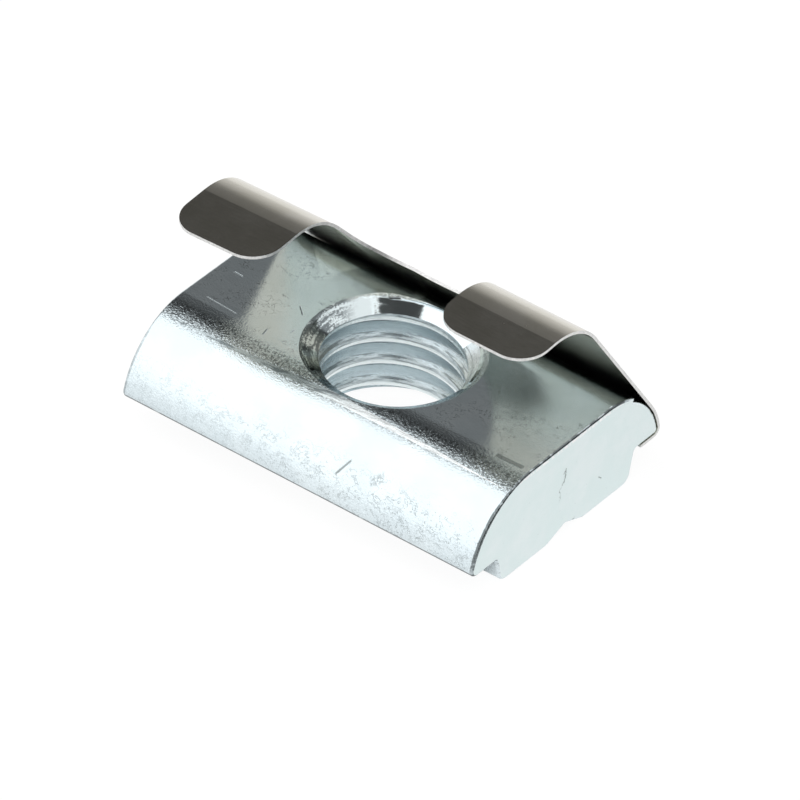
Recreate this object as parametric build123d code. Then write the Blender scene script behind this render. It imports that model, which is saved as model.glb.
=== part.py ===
from build123d import *
import math
import os

# T-slot nut, M8, for a 10 mm slot, with a spring leaf hooked round one shoulder.
# Frame: +Z up, X along the slot, origin on the hole axis at the rib's underside.

# ---- nut body: a length of drawn bar, cut off square ----
BODY_LENGTH = 20.0
BODY_WIDTH = 13.98          # over both shoulders
BODY_HEIGHT = 5.25
RIB_DEPTH = 1.5             # rib standing in the slot, below the two shoulders
RIB_WIDTH = 10.2            # where it meets the shoulders
RIB_TAPER = 0.18            # each side comes in this much at the rounded lower corners
RIB_CORNER_R = 0.6
NECK_R = 0.2                # inner corner between rib and shoulder
BACK_R = 4.25               # curved back of each shoulder
SHOULDER_CORNER_R = 0.4
GROOVE_HALF = 1.35          # shallow V along the middle of the rib
GROOVE_DEPTH = 0.5
GROOVE_MOUTH_R = 0.8
GROOVE_ROOT_R = 0.3
END_EDGE_R = 0.14           # rolled edge left by shearing

# ---- threaded hole, M8 x 1.25, drawn plain at the tapping drill's size ----
THREAD_HOLE_R = 3.4
COUNTERSINK_TOP_R = 4.3
COUNTERSINK_FOOT_R = 4.1
COUNTERSINK_HALF_ANGLE = 60.0

# ---- spring leaf: one strip of spring steel ----
LEAF_T = 0.15
LEAF_SEAT_GAP = 0.03        # air between leaf and shoulder
LEAF_SEAT_ANGLE = 62.0      # where the seat begins on the curved back, from level
HOOK_NECK_GAP = 0.32        # air between the hook's end and the neck
LEAF_BEND_R = 3.6           # outer radius of the bend into the tabs
TAB_FALL_ANGLE = 4.0              # degrees the tabs drop towards their front edges
LEAF_END_STEP = 0.6         # the strip is this much shorter than the body, at its left end
GAP_CENTRE_X = 0.3          # round-footed cut-out between the tabs, for the bolt
GAP_MOUTH_WIDTH = 8.65
GAP_MOUTH_Z = 10.85         # height on the back where its sides begin to close in
GAP_FOOT_WIDTH = 7.3
GAP_DEPTH = 5.3             # down the back, from its mouth to its foot
GAP_FOOT_ROUND = 0.96       # share of the foot's width that its two round corners take
TAB_CORNER_R = 1.5
LEFT_TAB_REACH = 11.99      # from the back of the strip to each tab's front edge
RIGHT_TAB_REACH = 10.84
# the strip is a little twisted: lean from level and crown height at its ends, beside the gap
# and in the web under it
LEFT_LEAN_ANGLE = 48.0
LEFT_CROWN_Z = 10.93
LEFT_INNER_LEAN_ANGLE = 48.5
LEFT_INNER_CROWN_Z = 11.1
WEB_TWIST_X = -1.6
WEB_LEAN_ANGLE = 52.2
WEB_CROWN_Z = 11.5
RIGHT_LEAN_ANGLE = 54.0
RIGHT_CROWN_Z = 11.75

SEAT_DEPTH = LEAF_T + LEAF_SEAT_GAP
RIB_HALF_ROOT = RIB_WIDTH / 2
RIB_HALF_FOOT = RIB_HALF_ROOT - RIB_TAPER
BACK_CENTRE_Z = BODY_HEIGHT - BACK_R
# the curved back's axis either side of the hole: its corner radius touches the full width
BACK_CENTRE_Y = BODY_WIDTH / 2 - SHOULDER_CORNER_R - math.sqrt(
    (BACK_R - SHOULDER_CORNER_R) ** 2 - (RIB_DEPTH + SHOULDER_CORNER_R - BACK_CENTRE_Z) ** 2
)
LEFT_TAB_FRONT_Y = BODY_WIDTH / 2 - LEFT_TAB_REACH
RIGHT_TAB_FRONT_Y = BODY_WIDTH / 2 - RIGHT_TAB_REACH
HOOK_TIP_Y = RIB_HALF_ROOT + NECK_R + HOOK_NECK_GAP
TOOL_REACH = 16.0           # cutting tools run this far, well past the strip
TOOL_OVER = 0.4             # and start this far outside the face that they cut
STOCK_OVER = 1.0            # spare length of the tabs, trimmed off to their rounded ends


def point_on_arc(centre, radius, degrees):
    a = math.radians(degrees)
    return (centre[0] + radius * math.cos(a), centre[1] + radius * math.sin(a))


def offset_outline(inset):
    """Key points of one shoulder's outline, on the +Y side, moved in by inset."""
    c = (BACK_CENTRE_Y, BACK_CENTRE_Z)
    r = BACK_R - inset
    k = SHOULDER_CORNER_R - inset
    floor = RIB_DEPTH + inset
    # corner circle: touches the floor line and the inside of the back's circle
    kz = floor + k
    ky = c[0] + math.sqrt((r - k) ** 2 - (kz - c[1]) ** 2)
    touch = math.degrees(math.atan2(kz - c[1], ky - c[0]))
    return c, r, k, (ky, kz), touch, floor


def body_sketch():
    """Half of the bar's section each side of the hole axis, in the Y-Z plane."""
    def half(sign, inset, seat_angle):
        c, r, k, kc, touch, floor = offset_outline(inset)
        co, ro, _, _, _, _ = offset_outline(0.0)

        def m(p):
            return (sign * p[0], p[1])

        parts = []
        parts.append(Line(m((0, BODY_HEIGHT)), m((co[0], BODY_HEIGHT))))
        p_seat_outer = point_on_arc(co, ro, seat_angle)
        mid = point_on_arc(co, ro, (90 + seat_angle) / 2)
        parts.append(ThreePointArc(m((co[0], BODY_HEIGHT)), m(mid), m(p_seat_outer)))
        start = point_on_arc(c, r, seat_angle)
        if inset > 0:
            parts.append(Line(m(p_seat_outer), m(start)))
        end = point_on_arc(c, r, touch)
        parts.append(ThreePointArc(m(start), m(point_on_arc(c, r, (seat_angle + touch) / 2)), m(end)))
        low = (kc[0], floor)
        mid_k = point_on_arc(kc, k, (touch - 90) / 2)
        parts.append(ThreePointArc(m(end), m(mid_k), m(low)))
        # underside in to the neck, down the rib's side, along its foot to the groove
        neck_y = RIB_HALF_ROOT + NECK_R
        parts.append(Line(m(low), m((neck_y, floor))))
        neck_end = (RIB_HALF_ROOT, floor - NECK_R)
        neck_mid = point_on_arc((neck_y, floor - NECK_R), NECK_R, 135)
        parts.append(ThreePointArc(m((neck_y, floor)), m(neck_mid), m(neck_end)))
        foot_top = (RIB_HALF_FOOT, RIB_CORNER_R)
        parts.append(Line(m(neck_end), m(foot_top)))
        foot_c = (RIB_HALF_FOOT - RIB_CORNER_R, RIB_CORNER_R)
        foot_mid = point_on_arc(foot_c, RIB_CORNER_R, -45)
        parts.append(ThreePointArc(m(foot_top), m(foot_mid), m((foot_c[0], 0))))
        parts.append(Line(m((foot_c[0], 0)), m((0, 0))))
        parts.append(Line(m((0, 0)), m((0, BODY_HEIGHT))))
        return make_face(Wire(parts))

    front = half(-1, 0.0, LEAF_SEAT_ANGLE)
    rear = half(1, SEAT_DEPTH, LEAF_SEAT_ANGLE)
    section = front + rear
    groove = make_face(Polyline(
        (-GROOVE_HALF - TOOL_OVER, -TOOL_OVER * GROOVE_DEPTH / GROOVE_HALF),
        (0, GROOVE_DEPTH),
        (GROOVE_HALF + TOOL_OVER, -TOOL_OVER * GROOVE_DEPTH / GROOVE_HALF),
        close=True,
    ))
    section = section - groove
    mouth = [v for v in section.vertices() if abs(v.Y) < 0.05 and abs(abs(v.X) - GROOVE_HALF) < 0.2]
    section = fillet(mouth, GROOVE_MOUTH_R)
    root = [v for v in section.vertices() if abs(v.X) < 0.01 and abs(v.Y - GROOVE_DEPTH) < 0.01]
    return fillet(root, GROOVE_ROOT_R)


def nut_body():
    bar = extrude(Plane.YZ * body_sketch(), BODY_LENGTH / 2, both=True)
    ends = bar.faces().filter_by(Axis.X)
    bar = fillet(ends.edges(), END_EDGE_R)
    t = math.tan(math.radians(COUNTERSINK_HALF_ANGLE))
    depth_top = (COUNTERSINK_TOP_R - THREAD_HOLE_R) / t
    depth_foot = (COUNTERSINK_FOOT_R - THREAD_HOLE_R) / t
    cutter = make_face(Polyline(
        (0, -TOOL_OVER),
        (COUNTERSINK_FOOT_R + TOOL_OVER * t, -TOOL_OVER),
        (THREAD_HOLE_R, depth_foot),
        (THREAD_HOLE_R, BODY_HEIGHT - depth_top),
        (COUNTERSINK_TOP_R + TOOL_OVER * t, BODY_HEIGHT + TOOL_OVER),
        (0, BODY_HEIGHT + TOOL_OVER),
        close=True,
    ))
    return bar - revolve(Plane.XZ * cutter, Axis.Z)


def leaf_wire(x, lean, crown):
    """Closed outline of the strip's edge, standing in the plane X = x."""
    c, r, k, kc, touch, floor = offset_outline(0.0)
    tangent = 90.0 - lean
    stock_y = min(LEFT_TAB_FRONT_Y, RIGHT_TAB_FRONT_Y) - STOCK_OVER

    def side(s):
        """Points down one face of the strip; s is the depth below its outer face."""
        a = math.radians(tangent)
        f = math.radians(TAB_FALL_ANGLE)
        rb = LEAF_BEND_R - s
        # the bend's centre, on the line that leaves the shoulder as a tangent
        cz = crown - LEAF_BEND_R
        up = (cz - c[1] - (r - LEAF_BEND_R) * math.sin(a)) / math.cos(a)
        bc = (c[0] + (r - LEAF_BEND_R) * math.cos(a) - up * math.sin(a), cz)
        bend_end = point_on_arc(bc, rb, 90.0 + TAB_FALL_ANGLE)
        drop = (bend_end[0] - stock_y) * math.tan(f)
        return {
            "tab": (stock_y, bend_end[1] - drop),
            "bend_end": bend_end,
            "bend_mid": point_on_arc(bc, rb, (tangent + 90.0 + TAB_FALL_ANGLE) / 2),
            "bend_start": point_on_arc(bc, rb, tangent),
            "off": point_on_arc(c, r - s, tangent),
            "wrap_mid": point_on_arc(c, r - s, (tangent + touch) / 2),
            "wrap_end": point_on_arc(c, r - s, touch),
            "corner_mid": point_on_arc(kc, k - s, (touch - 90) / 2),
            "corner_end": (kc[0], floor + s),
            "tip": (HOOK_TIP_Y, floor + s),
        }

    o = side(0.0)
    i = side(LEAF_T)
    tip_nose = (HOOK_TIP_Y - LEAF_T / 2, floor + LEAF_T / 2)

    def p(q):
        return (x, q[0], q[1])

    def arc(q, name1, name2, name3):
        return ThreePointArc(p(q[name1]), p(q[name2]), p(q[name3]))

    return Wire([
        Line(p(o["tab"]), p(o["bend_end"])),
        arc(o, "bend_end", "bend_mid", "bend_start"),
        Line(p(o["bend_start"]), p(o["off"])),
        arc(o, "off", "wrap_mid", "wrap_end"),
        arc(o, "wrap_end", "corner_mid", "corner_end"),
        Line(p(o["corner_end"]), p(o["tip"])),
        ThreePointArc(p(o["tip"]), p(tip_nose), p(i["tip"])),
        Line(p(i["tip"]), p(i["corner_end"])),
        arc(i, "corner_end", "corner_mid", "wrap_end"),
        arc(i, "wrap_end", "wrap_mid", "off"),
        Line(p(i["off"]), p(i["bend_start"])),
        arc(i, "bend_start", "bend_mid", "bend_end"),
        Line(p(i["bend_end"]), p(i["tab"])),
        Line(p(i["tab"]), p(o["tab"])),
    ])


def tab_trim(x0, x1, front):
    """What is cut from above round the front corners of one tab."""
    middle = (x0 + x1) / 2
    block = Rectangle(x1 - x0 + TAB_CORNER_R, TOOL_REACH, align=(Align.CENTER, Align.MAX))
    block = block.locate(Location((middle, front + TAB_CORNER_R)))
    keep = RectangleRounded(x1 - x0, TOOL_REACH, TAB_CORNER_R, align=(Align.CENTER, Align.MIN))
    keep = keep.locate(Location((middle, front)))
    return extrude(Plane.XY.offset(BODY_HEIGHT) * (block - keep), TOOL_REACH)


def gap_tool():
    """Tapered punch square to the back, with a box above it for the bend and the tabs."""
    lean = math.radians((LEFT_INNER_LEAN_ANGLE + RIGHT_LEAN_ANGLE) / 2)
    c, r = offset_outline(0.0)[:2]
    run = (GAP_MOUTH_Z - c[1] - r * math.cos(lean)) / math.sin(lean)
    mouth_y = c[0] + r * math.sin(lean) - run * math.cos(lean)
    plane = Plane(
        origin=(GAP_CENTRE_X, mouth_y, GAP_MOUTH_Z),
        x_dir=(1, 0, 0),
        z_dir=(0, -math.sin(lean), -math.cos(lean)),
    )
    half = GAP_MOUTH_WIDTH / 2
    foot = GAP_FOOT_WIDTH / 2
    sides = [(-half, LEAF_BEND_R), (-half, 0), (-foot, -GAP_DEPTH)]
    sides += [(foot, -GAP_DEPTH), (half, 0), (half, LEAF_BEND_R)]
    taper = make_face(Polyline(sides, close=True))
    turn = math.atan2(GAP_DEPTH, half - foot)
    foot_r = GAP_FOOT_ROUND * foot / math.tan(turn / 2)
    taper = fillet(taper.vertices().sort_by(Axis.Y)[:2], foot_r)
    punch = extrude(plane * taper, LEAF_BEND_R - LEAF_T, both=True)
    above = (Align.CENTER, Align.MAX, Align.MIN)
    front = Box(GAP_MOUTH_WIDTH, TOOL_REACH, TOOL_REACH, align=above)
    clear = LEAF_BEND_R / 2
    return punch + front.locate(Location((GAP_CENTRE_X, mouth_y - clear, GAP_MOUTH_Z - clear)))


def spring_leaf():
    left = LEAF_END_STEP - BODY_LENGTH / 2
    right = BODY_LENGTH / 2
    gap_left = GAP_CENTRE_X - GAP_MOUTH_WIDTH / 2
    gap_right = GAP_CENTRE_X + GAP_MOUTH_WIDTH / 2
    wires = [
        leaf_wire(left, LEFT_LEAN_ANGLE, LEFT_CROWN_Z),
        leaf_wire(gap_left, LEFT_INNER_LEAN_ANGLE, LEFT_INNER_CROWN_Z),
        leaf_wire(WEB_TWIST_X, WEB_LEAN_ANGLE, WEB_CROWN_Z),
        leaf_wire(gap_right, RIGHT_LEAN_ANGLE, RIGHT_CROWN_Z),
        leaf_wire(right, RIGHT_LEAN_ANGLE, RIGHT_CROWN_Z),
    ]
    leaf = Solid.make_loft(wires, ruled=True)
    leaf = leaf - gap_tool()
    leaf = leaf - tab_trim(left, gap_left, LEFT_TAB_FRONT_Y)
    return leaf - tab_trim(gap_right, right, RIGHT_TAB_FRONT_Y)


def main():
    os.makedirs("parts", exist_ok=True)
    export_step(nut_body(), "parts/nut_body.step")
    export_step(spring_leaf(), "parts/spring_leaf.step")


main()
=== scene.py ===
import math

import bpy
from mathutils import Matrix, Vector


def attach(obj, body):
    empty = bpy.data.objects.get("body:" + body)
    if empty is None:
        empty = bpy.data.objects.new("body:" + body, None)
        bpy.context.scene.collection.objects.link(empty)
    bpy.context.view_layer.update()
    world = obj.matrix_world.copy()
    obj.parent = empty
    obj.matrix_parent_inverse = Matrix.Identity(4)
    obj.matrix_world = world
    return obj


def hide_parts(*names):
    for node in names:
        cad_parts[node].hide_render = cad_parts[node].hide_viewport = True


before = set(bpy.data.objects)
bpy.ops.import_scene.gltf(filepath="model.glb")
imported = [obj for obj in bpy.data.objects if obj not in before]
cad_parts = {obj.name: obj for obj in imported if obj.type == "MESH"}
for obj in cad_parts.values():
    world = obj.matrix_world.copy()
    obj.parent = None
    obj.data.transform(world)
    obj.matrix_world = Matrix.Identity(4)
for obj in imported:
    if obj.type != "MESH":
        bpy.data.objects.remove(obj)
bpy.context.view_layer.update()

# ---------------------------------------------------------------- nut body
# A length of drawn steel bar, sheared off, drilled, countersunk and tapped M8, then bright
# zinc plated. It stands on the rib that slides in the slot.

BAR_TOP = 5.25            # millimetres, as are all sizes below unless a name says otherwise
BAR_HALF_LENGTH = 10.0
ARC_START_Y = -2.85       # the flat top ends and the curved front begins
COUNTERSINK_R = 4.3
COUNTERSINK_SLOPE = math.radians(30)
DRILLED_R = 3.4
PITCH = 1.25
TAP_CORE_R = DRILLED_R - 0.02    # inside the drilled wall, which stays as the threads' crests
TAP_TOOTH_R = 4.03
TAP_TOOTH_FLAT = 0.17
TAP_FLANK_ANGLE = math.radians(30)
TAP_CORNER_OUT = 0.04     # the worn corners of a tooth, across and along the tap
TAP_CORNER_UP = 0.03
TAP_CORNER_SHARE = 0.06   # of the flank
TAP_FOOT_Z = -2.15
TAP_TURNS = 8
TAP_OVERRUN = 0.4         # how far it reaches past either end of the hole
MERGE_GAP = 0.0005


def select_only(piece):
    """Selects one piece, as the operators act on all that is selected."""
    bpy.ops.object.select_all(action="DESELECT")
    piece.select_set(True)
    bpy.context.view_layer.objects.active = piece


def scale_mesh(piece, factor):
    """Scales the mesh about the origin, and leaves the object as it is."""
    select_only(piece)
    bpy.ops.object.mode_set(mode="EDIT")
    bpy.ops.mesh.select_all(action="SELECT")
    bpy.ops.transform.resize(value=(factor, factor, factor), center_override=(0, 0, 0))
    bpy.ops.object.mode_set(mode="OBJECT")


def merge_corners(piece, **settings):
    """Joins the corners that lie in one place."""
    select_only(piece)
    bpy.ops.object.mode_set(mode="EDIT")
    bpy.ops.mesh.select_all(action="SELECT")
    bpy.ops.mesh.remove_doubles(threshold=MERGE_GAP, **settings)
    bpy.ops.object.mode_set(mode="OBJECT")


def apply_modifier(piece, kind, **settings):
    """Adds one modifier to the piece and applies it."""
    select_only(piece)
    modifier = piece.modifiers.new(kind.lower(), kind)
    for name, value in settings.items():
        setattr(modifier, name, value)
    bpy.ops.object.modifier_apply(modifier=modifier.name)


def blank_of(node, name):
    """A copy of a CAD node, joined up and in millimetres, and a second to take true normals from."""
    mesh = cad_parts[node].data.copy()
    mesh.name = name
    mesh.materials.clear()
    piece = bpy.data.objects.new(name, mesh)
    bpy.context.scene.collection.objects.link(piece)
    scale_mesh(piece, 1000)
    merge_corners(piece, use_sharp_edge_from_normals=True)
    true_form = bpy.data.objects.new(name + "_true_form", mesh.copy())
    bpy.context.scene.collection.objects.link(true_form)
    bpy.ops.mesh.customdata_custom_splitnormals_clear()
    return piece, true_form


def shade_true(piece, true_form, bore_r=0.0):
    """Outside the bore, takes the true normals, so that flats shade flat right up to their edges."""
    outside = piece.vertex_groups.new(name="outside_bore")
    for vertex in piece.data.vertices:
        if math.hypot(vertex.co.x, vertex.co.y) > bore_r:
            outside.add([vertex.index], 1.0, "REPLACE")
    apply_modifier(piece, "DATA_TRANSFER", object=true_form, use_loop_data=True,
                   data_types_loops={"CUSTOM_NORMAL"}, loop_mapping="NEAREST_POLYNOR",
                   vertex_group=outside.name)
    piece.vertex_groups.clear()
    bpy.data.objects.remove(true_form)


def thread_tap():
    """A tap: one tooth's outline drawn point by point, screwed up the hole, its ends cut square."""
    depth = TAP_TOOTH_R - TAP_CORE_R
    flank = depth * math.tan(TAP_FLANK_ANGLE)
    straight = (1 - TAP_CORNER_SHARE) * flank
    corner = TAP_CORNER_SHARE * flank + TAP_CORNER_UP
    land = PITCH - TAP_TOOTH_FLAT - 2 * flank
    bpy.ops.object.select_all(action="DESELECT")
    bpy.ops.mesh.primitive_plane_add(size=0.1, location=(0, 0, 0))
    tap = bpy.context.active_object
    bpy.ops.object.mode_set(mode="EDIT")
    bpy.ops.mesh.merge(type="CENTER")
    bpy.ops.transform.translate(value=(TAP_CORE_R, 0, TAP_FOOT_Z))
    for out, up in (
        (0, land / 2),
        (depth - TAP_CORNER_OUT, straight),
        (TAP_CORNER_OUT, corner),
        (0, TAP_TOOTH_FLAT - 2 * TAP_CORNER_UP),
        (-TAP_CORNER_OUT, corner),
        (TAP_CORNER_OUT - depth, straight),
        (0, land / 2),
    ):
        bpy.ops.mesh.extrude_vertices_move(TRANSFORM_OT_translate={"value": (out, 0, up)})
    bpy.ops.object.mode_set(mode="OBJECT")
    apply_modifier(tap, "SCREW", screw_offset=PITCH, iterations=TAP_TURNS, steps=96, render_steps=96,
                   use_smooth_shade=False)
    bpy.ops.object.mode_set(mode="EDIT")
    bpy.ops.mesh.select_all(action="SELECT")
    bpy.ops.mesh.remove_doubles(threshold=2 * MERGE_GAP)
    for cut_z, beyond in ((-TAP_OVERRUN, "clear_inner"), (BAR_TOP + TAP_OVERRUN, "clear_outer")):
        bpy.ops.mesh.bisect(plane_co=(0, 0, cut_z), plane_no=(0, 0, 1), use_fill=True, **{beyond: True})
        bpy.ops.mesh.select_all(action="SELECT")
    bpy.ops.mesh.normals_make_consistent(inside=False)
    bpy.ops.object.mode_set(mode="OBJECT")
    return tap


nut, nut_form = blank_of("nut_body", "threaded_nut")
tap = thread_tap()
apply_modifier(nut, "BOOLEAN", operation="DIFFERENCE", solver="EXACT", object=tap)
bpy.data.objects.remove(tap)
merge_corners(nut)
bpy.ops.object.shade_smooth_by_angle(angle=math.radians(28))
apply_modifier(nut, "WEIGHTED_NORMAL", keep_sharp=True, weight=80)
shade_true(nut, nut_form, bore_r=TAP_TOOTH_R + 0.04)


class Value:
    """One socket of a shader. Signs between values, or a value and a number, add Math nodes."""

    def __init__(self, shading, socket):
        self.shading = shading
        self.socket = socket

    def _math(self, operation, *operands):
        return self.shading.add("ShaderNodeMath", {"operation": operation}, dict(enumerate(operands)))

    def __add__(self, other):
        return self._math("ADD", self, other)

    __radd__ = __add__

    def __sub__(self, other):
        return self._math("SUBTRACT", self, other)

    def __rsub__(self, other):
        return self._math("SUBTRACT", other, self)

    def __mul__(self, other):
        return self._math("MULTIPLY", self, other)

    __rmul__ = __mul__

    def __truediv__(self, other):
        return self._math("DIVIDE", self, other)

    def __pow__(self, other):
        return self._math("POWER", self, other)

    def __abs__(self):
        return self._math("ABSOLUTE", self)

    def __or__(self, other):
        return self._math("MAXIMUM", self, other)


class Shading:
    """The nodes of one material or of the world, added as they are needed."""

    def __init__(self, tree):
        self.tree = tree

    def add(self, kind, settings=None, sockets=None, output=0):
        """A node of that type: its settings first, then values or links for its sockets."""
        node = self.tree.nodes.new(kind)
        for name, value in (settings or {}).items():
            if name == "stops":
                while len(node.color_ramp.elements) < len(value):
                    node.color_ramp.elements.new(1.0)
                for stop, (position, colour) in zip(node.color_ramp.elements, value):
                    stop.position = position
                    stop.color = (*colour, 1)
            else:
                setattr(node, name, value)
        for name, value in (sockets or {}).items():
            if isinstance(value, Value):
                self.tree.links.new(value.socket, node.inputs[name])
            else:
                node.inputs[name].default_value = value
        return Value(self, node.outputs[output])

    def ramp(self, value, low, high, floor=0.0, top=1.0):
        """Runs smoothly from floor at low to top at high; low may be the larger of the two."""
        return self.add("ShaderNodeMapRange", {"interpolation_type": "SMOOTHSTEP"}, {
            "Value": value, "From Min": low, "From Max": high, "To Min": floor, "To Max": top,
        })

    def mix(self, factor, a, b):
        """Colour a where factor is 0 and colour b where it is 1."""
        a, b = ((*c, 1) if isinstance(c, tuple) else c for c in (a, b))
        return self.add("ShaderNodeMix", {"data_type": "RGBA"}, {0: factor, 6: a, 7: b}, 2)

    def split(self, vector):
        node = self.add("ShaderNodeSeparateXYZ", {}, {0: vector}).socket.node
        return tuple(Value(self, socket) for socket in node.outputs)


class Finish(Shading):
    """A surface finish, metal to start with, patterned in millimetres from Object coordinates."""

    def __init__(self, name):
        self.material = bpy.data.materials.new(name)
        self.material.use_nodes = True
        super().__init__(self.material.node_tree)
        self.surface = self.tree.nodes["Principled BSDF"]
        self.surface.inputs["Metallic"].default_value = 1.0
        place = self.add("ShaderNodeTexCoord", output="Object")
        self.place = self.add("ShaderNodeVectorMath", {"operation": "SCALE"}, {0: place, "Scale": 1000.0})
        self.x, self.y, self.z = self.split(self.place)

    def noise(self, per_mm, detail=3.0, rough=0.55, long=(1, 1, 1), at=None):
        """Noise with so many lumps to the millimetre, drawn out along each axis by long."""
        stretched = self.add("ShaderNodeMapping", {}, {
            "Vector": at or self.place, "Scale": tuple(1 / n for n in long),
        })
        return self.add("ShaderNodeTexNoise", {}, {
            "Vector": stretched, "Scale": per_mm, "Detail": detail, "Roughness": rough,
        })

    def wrinkles(self, per_mm, thickness, patches, long=(1, 1, 1)):
        """Fine crooked lines, kept only where the patches noise is high."""
        line = abs(self.noise(per_mm, 3.0, 0.6, long) - 0.5)
        return self.ramp(line, thickness, thickness * 0.3) * self.ramp(patches, 0.50, 0.60)

    def scratch(self, a, b, start, end, width):
        """1 along a line from start to end across the coordinates a and b, else 0."""
        dx, dy = end[0] - start[0], end[1] - start[1]
        length = math.hypot(dx, dy)
        dx, dy = dx / length, dy / length
        across = abs((b - start[1]) * dx - (a - start[0]) * dy)
        along = (a - start[0]) * dx + (b - start[1]) * dy
        ends = self.ramp(abs(along - length / 2), length / 2, length / 2 - 0.15)
        return self.ramp(across, width, width * 0.25) * ends

    def finish(self, colour, roughness, relief, depth):
        """Joins up the finish. The relief is in shares of depth."""
        for name, value in (("Base Color", colour), ("Roughness", roughness)):
            self.tree.links.new(value.socket, self.surface.inputs[name])
        bump = self.add("ShaderNodeBump", {}, {"Height": relief, "Distance": depth * 0.001})
        self.tree.links.new(bump.socket, self.surface.inputs["Normal"])
        return self.material


def zinc_on_drawn_bar():
    """Bright and bluish, grained by the drawing die, with pits and dents low on the curved front."""
    m = Finish("zinc_on_drawn_bar")
    cloud = m.noise(0.35, 4.0, 0.6)
    swell = m.noise(1.3, 2.0, 0.5, (1.6, 1, 1))
    grain = m.noise(11.0, 2.0, 0.6)
    drawn = m.noise(5.0, 4.0, 0.6, (14, 1, 1))
    front = m.ramp(m.y, ARC_START_Y + 0.5, ARC_START_Y - 0.7)
    low = m.ramp(m.z, 4.3, 3.0)
    right = m.ramp(m.x, -7.0, 6.0, 0.55, 1.0)
    wrinkled = m.wrinkles(3.4, 0.020, m.noise(1.5, 3.0) + 0.045, (1.4, 1, 1)) * low
    finely_wrinkled = m.wrinkles(5.0, 0.022, m.noise(2.2, 2.0) + 0.03) * m.ramp(m.z, 3.4, 2.4)
    wrinkled = (wrinkled | finely_wrinkled) * right
    pitted = m.ramp(m.noise(6.5, 3.0, 0.7), 0.64, 0.70) * low * right
    # single marks: two dents on the curved front, then six scratches on the top
    dents = (
        m.scratch(m.x, m.z, (1.85, 2.99), (2.42, 3.84), 0.07)
        | m.scratch(m.x, m.z, (3.60, 3.35), (4.30, 3.80), 0.30) * m.ramp(grain, 0.42, 0.62) * 0.7
    ) * front
    lines = (
        m.scratch(m.x, m.y, (8.0, -3.02), (9.6, -2.97), 0.16) * 0.8
        | m.scratch(m.x, m.y, (-9.16, -0.16), (-8.50, -0.19), 0.05)
        | m.scratch(m.x, m.y, (-8.91, -2.44), (-7.01, -2.56), 0.03)
        | m.scratch(m.x, m.y, (-5.19, -3.04), (-5.31, -2.45), 0.05)
        | m.scratch(m.x, m.y, (-4.33, -2.09), (-4.31, -1.68), 0.04)
        | m.scratch(m.x, m.y, (-5.28, -0.16), (-4.67, -0.71), 0.04)
    )
    crazed = m.wrinkles(2.2, 0.014, m.noise(0.7, 2.0)) * m.ramp(m.z, 5.0, 5.2)
    # darker along the edge at each end, fainter at the left one
    end_line = m.ramp(m.z, 4.2, 5.0, BAR_HALF_LENGTH - 0.16, BAR_HALF_LENGTH - 0.09)
    dark_end_edge = m.ramp(abs(m.x) + 0.05 * m.noise(3.0) - end_line, 0.0, 0.04)
    dark_end_edge = dark_end_edge * m.ramp(m.z, 1.6, 1.9) * m.ramp(m.y, 4.6, 4.0)
    dark_end_edge = dark_end_edge * m.ramp(m.noise(3.0), 0.38, 0.5, 0.35, 0.8) * m.ramp(m.x, -1.0, 1.0, 0.5, 1.0)
    # painted shade along the front's lower corner, where it turns down to the card; the rubbed
    # stretch above it, and the speckled band where the front turns into the top
    painted_corner_shade = m.ramp(m.z, 1.82, 1.75) * m.ramp(m.z, 1.44, 1.50) * front
    painted_corner_shade = painted_corner_shade * m.ramp(m.noise(2.5), 0.3, 0.5, 0.5, 1.0)
    worn = m.ramp(m.noise(9.0, 3.0, 0.65), 0.52, 0.62) * m.ramp(m.z, 2.9, 1.7) * front
    peel = m.ramp(m.noise(9.0, 3.0, 0.7), 0.49, 0.55) * m.ramp(abs(m.y + 3.95), 0.75, 0.35)
    grey_marks = wrinkled * 0.45 | pitted * 0.35 | dents * 0.7 | worn * 0.15
    dark_marks = lines * 0.6 | dark_end_edge | painted_corner_shade * 0.85 | peel * 0.6 | crazed * 0.5
    tone = m.mix(m.ramp(cloud, 0.35, 0.7), (0.68, 0.765, 0.80), (0.74, 0.82, 0.85))
    tone = m.mix(grey_marks, tone, (0.16, 0.18, 0.17))
    tone = m.mix(dark_marks, tone, (0.05, 0.06, 0.06))
    return m.finish(
        tone,
        0.10 + 0.07 * cloud + 0.10 * low + 0.2 * (dents | wrinkled),
        swell * 0.6 + grain * (0.35 + 1.3 * front) + drawn * 0.05 - 0.8 * (wrinkled | pitted)
        - 2.0 * (dents | lines),
        0.010,
    )


def zinc_on_sheared_end():
    """Paler and matt, with a crooked crack where the bar tore, and a few marks."""
    m = Finish("zinc_on_sheared_end")
    cloud = m.noise(0.5, 4.0, 0.6)
    tooth = m.noise(6.0, 4.0, 0.65, (1, 1, 2.5))
    sway = m.noise(2.0, 3.0, 0.6)
    crack = m.scratch(m.y + 1.1 * (sway - 0.5), m.z, (-0.12, 3.92), (-0.76, 2.02), 0.06)
    crack = crack * m.ramp(m.noise(4.0), 0.42, 0.5)
    marks = m.scratch(m.y, m.z, (0.45, 0.42), (0.72, 0.40), 0.06)
    marks = marks | m.scratch(m.y, m.z, (2.3, 1.8), (2.65, 1.5), 0.04)
    specks = m.ramp(m.noise(5.0, 3.0, 0.7), 0.66, 0.72) * 0.2
    tone = m.mix(m.ramp(cloud, 0.35, 0.7), (0.78, 0.88, 0.88), (0.84, 0.915, 0.92))
    # painted highlight: a bright, broken line along the top edge of the end, where the burr is
    burr_highlight = m.ramp(m.z, 4.96, 5.04) * m.ramp(m.noise(5.0), 0.42, 0.52)
    tone = m.mix(burr_highlight, tone, (0.97, 0.98, 0.98))
    tone = m.mix(crack * 0.8 | marks * 0.7 | specks, tone, (0.22, 0.25, 0.25))
    return m.finish(tone, 0.42 + 0.16 * cloud, tooth * 0.6 - 1.5 * (crack | marks), 0.012)


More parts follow.
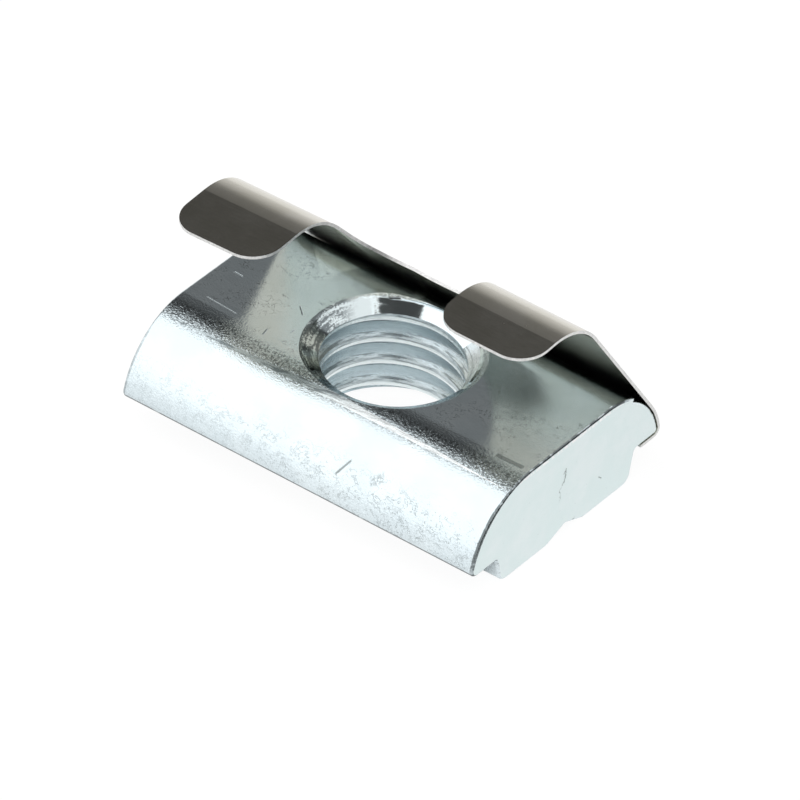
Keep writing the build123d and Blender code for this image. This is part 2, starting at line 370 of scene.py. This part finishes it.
def zinc_in_threads():
    """Bluish, with the tap's fine rings, bright where each thread's crest was left by the drill, and with
    a painted highlight towards the right.
    """
    m = Finish("zinc_in_threads")
    turn = m.add("ShaderNodeMath", {"operation": "ARCTAN2"}, {0: m.y, 1: m.x}) / math.tau
    # along runs from 0 to 1 up each pitch: the crest is round 0.5 and the groove round 0 and 1
    up_the_helix = (m.z - TAP_FOOT_Z) / PITCH - turn + 0.5
    along = m.add("ShaderNodeMath", {"operation": "FRACT"}, {0: up_the_helix})
    ring_place = m.add("ShaderNodeCombineXYZ", {}, {"X": along * PITCH, "Y": 0.05 * m.x, "Z": 0.05 * m.y})
    rings = m.noise(13.0, 4.0, 0.7, at=ring_place)
    chatter = m.noise(5.0, 4.0, 0.7, (2, 2, 1))
    profile = m.add("ShaderNodeValToRGB", {"stops": (
        (0.36, (0.84, 0.90, 0.91)),
        (0.46, (0.78, 0.86, 0.87)),
        (0.54, (0.50, 0.57, 0.59)),
        (0.66, (0.60, 0.68, 0.71)),
        (0.74, (0.66, 0.75, 0.79)),
        (0.93, (0.62, 0.71, 0.75)),
    )}, {0: along})
    streaks = m.ramp(rings, 0.48, 0.56) * m.ramp(abs(along - 0.60), 0.20, 0.10)
    # painted highlight: paler towards the right of the hole, with fewer dark streaks there
    painted_highlight = m.ramp(m.x - 0.3 * m.y, 0.3, 2.6) * 0.6
    tone = m.mix(painted_highlight, profile, (0.93, 0.96, 0.97))
    darkened = streaks * 0.6 * (1.0 - painted_highlight) + 0.1 * m.ramp(chatter, 0.5, 0.7)
    tone = m.mix(darkened, tone, (0.10, 0.13, 0.14))
    return m.finish(tone, 0.16 + 0.16 * chatter, rings * 0.9 + chatter * 0.3, 0.014)


def zinc_on_countersink():
    """Mirror-bright where the drill's cone cut clean, and torn and speckled towards its rim."""
    m = Finish("zinc_on_countersink")
    radius = (m.x ** 2.0 + m.y ** 2.0) ** 0.5
    ring_place = m.add("ShaderNodeCombineXYZ", {}, {"X": radius, "Y": 0.12 * m.x, "Z": 0.12 * m.y})
    rings = m.noise(7.0, 3.0, 0.6, at=ring_place)
    torn = m.noise(10.0, 4.0, 0.75)
    rim = m.ramp(radius + 0.3 * (m.noise(1.2) - 0.5) - 0.12 * m.ramp(m.x, -1.8, -3.2), 3.98, 4.10)
    left = m.ramp(m.x + 0.6 * m.y + 0.8 * m.noise(1.5), -1.9, -3.0)
    dull_marks_and_painted_shade = m.ramp(torn, 0.40, 0.60) * 0.45 * rim | m.ramp(rings + torn, 0.86, 1.02) * 0.85 * left
    tone = m.mix(dull_marks_and_painted_shade, (0.74, 0.82, 0.835), (0.10, 0.12, 0.13))
    return m.finish(tone, 0.06 + 0.14 * rim, rings * (0.15 + 0.5 * rim) + torn * (0.03 + 0.6 * rim), 0.012)


DRAWN, SHEARED, THREADED, COUNTERSUNK = range(4)
for material in (zinc_on_drawn_bar(), zinc_on_sheared_end(), zinc_in_threads(), zinc_on_countersink()):
    nut.data.materials.append(material)
for face in nut.data.polygons:
    radius = math.hypot(face.center.x, face.center.y)
    cone_z = BAR_TOP - (COUNTERSINK_R - radius) * math.tan(COUNTERSINK_SLOPE)
    on_cone = 0.8 < face.normal.z < 0.97 and abs(face.center.z - cone_z) < 0.25
    if abs(face.center.x) > BAR_HALF_LENGTH - 0.02 and abs(face.normal.x) > 0.97:
        face.material_index = SHEARED
    elif radius < COUNTERSINK_R and on_cone:
        face.material_index = COUNTERSUNK
    elif radius < COUNTERSINK_R and abs(face.normal.z) < 0.97:
        face.material_index = THREADED
    else:
        face.material_index = DRAWN
scale_mesh(nut, 0.001)
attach(nut, "root")
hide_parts("nut_body")

# ---------------------------------------------------------------- spring leaf
# One strip of stainless spring steel, blanked with rounded corners and a gap for the bolt,
# then bent into two tabs and a hook that snaps round the shoulder. Its cut edges are bare, with a painted
# highlight.

TABS_BEHIND_Y = -3.4      # both tabs' front edges lie in front of this
HOOK_END_Y = 5.7          # the hook's cut end lies in front of this and below HOOK_TOP_Z
HOOK_TOP_Z = 1.6
GAP_ABOVE_Z = BAR_TOP + 0.25     # the gap for the bolt lies above this
INSIDE_ABOVE_Z = BAR_TOP - 0.5   # and the side inside the bends is seen above this


def rolled_spring_steel(name, dull_marks_and_painted_shade=0.0):
    """Warm grey and smooth from cold rolling, with faint rolling lines and a few rubbed spots.

    The side inside the bends is darkened by painted shade, most of all low down where it meets the
    shoulder, and more towards the right.
    """
    m = Finish(name)
    haze = m.noise(0.45, 4.0, 0.6)
    lines = m.noise(9.0, 3.0, 0.6, (12, 1, 1))
    spots = m.ramp(m.noise(2.2, 4.0, 0.7), 0.66, 0.74)
    tone = m.mix(m.ramp(haze, 0.35, 0.7), (0.60, 0.575, 0.50), (0.66, 0.635, 0.57))
    tone = m.mix(spots * 0.25, tone, (0.36, 0.33, 0.28))
    # painted shade on the inside of the bends, deepest low down by the shoulder
    darkened = dull_marks_and_painted_shade * (0.6 * m.ramp(m.z, 6.9, 5.0) | 0.25 * m.ramp(m.x, -1.0, 5.0))
    tone = m.mix(darkened, tone, (0.12, 0.13, 0.12))
    return m.finish(tone, 0.14 + 0.08 * haze + 0.1 * spots, lines * 0.2 + haze, 0.006)


def blanked_edge():
    """The strip's cut edge: bare and a little torn, and bright with a painted highlight."""
    m = Finish("blanked_edge")
    torn = m.noise(7.0, 4.0, 0.7)
    tone = m.mix(m.ramp(torn, 0.35, 0.7), (0.60, 0.60, 0.59), (0.86, 0.86, 0.85))
    return m.finish(tone, 0.35 + 0.1 * torn, torn, 0.008)


ROLLED, BLANKED, INSIDE = range(3)
leaf, leaf_form = blank_of("spring_leaf", "spring_strip")
leaf.data.materials.append(rolled_spring_steel("rolled_spring_steel"))
leaf.data.materials.append(blanked_edge())
leaf.data.materials.append(rolled_spring_steel("rolled_spring_steel_inside", 1.0))
for face in leaf.data.polygons:
    tab_front = face.center.y < TABS_BEHIND_Y and abs(face.normal.z) < 0.5
    gap_side = face.center.z > GAP_ABOVE_Z and face.normal.y * face.normal.z < -0.3
    hook_end = face.center.z < HOOK_TOP_Z and face.center.y < HOOK_END_Y
    if abs(face.normal.x) > 0.5 or tab_front or gap_side or hook_end:
        face.material_index = BLANKED
    elif face.normal.z < -0.3 and face.center.z > INSIDE_ABOVE_Z:
        face.material_index = INSIDE
    else:
        face.material_index = ROLLED
select_only(leaf)
bpy.ops.object.shade_smooth_by_angle(angle=math.radians(30), keep_sharp_edges=False)
shade_true(leaf, leaf_form)
scale_mesh(leaf, 0.001)
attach(leaf, "root")
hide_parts("spring_leaf")

# ---------------------------------------------------------------- table
# Matt white card, which keeps a faint shadow close round the nut.

bpy.ops.object.select_all(action="DESELECT")
bpy.ops.mesh.primitive_plane_add(size=6.0, location=(0, 0, 0))
table = bpy.context.active_object
table.name = "table"
card = Finish("white_card")
card.tree.nodes.remove(card.surface)
ray = card.add("ShaderNodeLightPath").socket.node
seen, mirrored = (Value(card, ray.outputs[name]) for name in ("Is Camera Ray", "Is Glossy Ray"))
# the steel mirrors white card all round and through the hole, and shaded card close to the bar
clear_of_nut = card.ramp((abs(card.x) - 9.9) | (abs(card.y + 0.3) - 6.3), -1.2, 0.2)
under_hole = card.ramp((card.x ** 2.0 + card.y ** 2.0) ** 0.5, 4.2, 3.9)
glow = 0.86 * seen | 0.86 * mirrored * (clear_of_nut | under_hole)
matt = card.add("ShaderNodeBsdfDiffuse", {}, {"Color": (0.9, 0.9, 0.9, 1)})
white = card.add("ShaderNodeEmission", {}, {"Strength": 1.07})
lit = card.add("ShaderNodeMixShader", {}, {0: glow, 1: matt, 2: white})
card.tree.links.new(lit.socket, card.tree.nodes["Material Output"].inputs["Surface"])
table.data.materials.append(card.material)

# ---------------------------------------------------------------- light tent
# Bright cloth in front, overhead and low all round, open to a darker room behind on the left
# and low on the right.

world = bpy.data.worlds.new("light_tent")
bpy.context.scene.world = world
world.use_nodes = True
tent = Shading(world.node_tree)
backdrop = world.node_tree.nodes["Background"]
backdrop.inputs["Color"].default_value = (1, 1, 1, 1)
x, y, z = tent.split(tent.add("ShaderNodeTexCoord", output="Generated"))
# the opening behind, and the hatch overhead with a thin bar of cloth across it, both give on
# the room; the glow is the cloth low all round, and the side is dark low on the right
opening = tent.ramp(y - 0.62 * tent.ramp(x, -0.05, 0.15), 0.11, 0.15)
hatch = tent.ramp(abs(x - 0.08), 0.195, 0.18) * tent.ramp(abs(y + 0.10), 0.175, 0.16)
hatch = hatch * tent.ramp(z, 0.6, 0.8) * tent.ramp(abs(x - 0.225), 0.008, 0.016)
glow_low = tent.ramp(z, 0.66, 0.05, 0.0, 0.74)
room = tent.ramp(y, 0.53, 0.66, 0.065, 0.205) * tent.ramp(y, 0.78, 0.88, 1.0, 0.5)
cloth = 1.0 + 0.4 * tent.ramp(y, 0.12, 0.05)
dark = opening | hatch
level = (cloth * (1.0 - dark) + room * dark) | glow_low
side = tent.ramp(x, 0.55, 0.62) * tent.ramp(z, 0.55, 0.45)
level = level * (1.0 - 0.97 * side)
camera_ray = Value(tent, tent.add("ShaderNodeLightPath").socket.node.outputs["Is Camera Ray"])
strength = level * (1.0 - camera_ray) + camera_ray
tent.tree.links.new(strength.socket, backdrop.inputs["Strength"])
bpy.context.scene.view_settings.view_transform = "Standard"

# ---------------------------------------------------------------- camera
# A long lens a good way off, looking down at the front right corner and rolled a little.

AZIMUTH, ELEVATION, ROLL = math.radians(35.82), math.radians(37.88), math.radians(3.20)
CAMERA_AIM_M = Vector((0.001251, -0.001064, 0.00367))
CAMERA_DISTANCE_M = 0.40519

lens = bpy.data.cameras.new("long_lens")
lens.lens = 405.0
lens.sensor_width = 36.0
lens.clip_start, lens.clip_end = 0.01, 20.0
camera = bpy.data.objects.new("camera", lens)
bpy.context.scene.collection.objects.link(camera)
bpy.context.scene.camera = camera
away = Vector((
    math.sin(AZIMUTH) * math.cos(ELEVATION),
    -math.cos(AZIMUTH) * math.cos(ELEVATION),
    math.sin(ELEVATION),
))
level_right = Vector((math.cos(AZIMUTH), math.sin(AZIMUTH), 0))
right = Matrix.Rotation(ROLL, 3, away) @ level_right
camera.matrix_world = Matrix.Translation(CAMERA_AIM_M + away * CAMERA_DISTANCE_M) @ (
    Matrix((right, away.cross(right), away)).transposed().to_4x4()
)
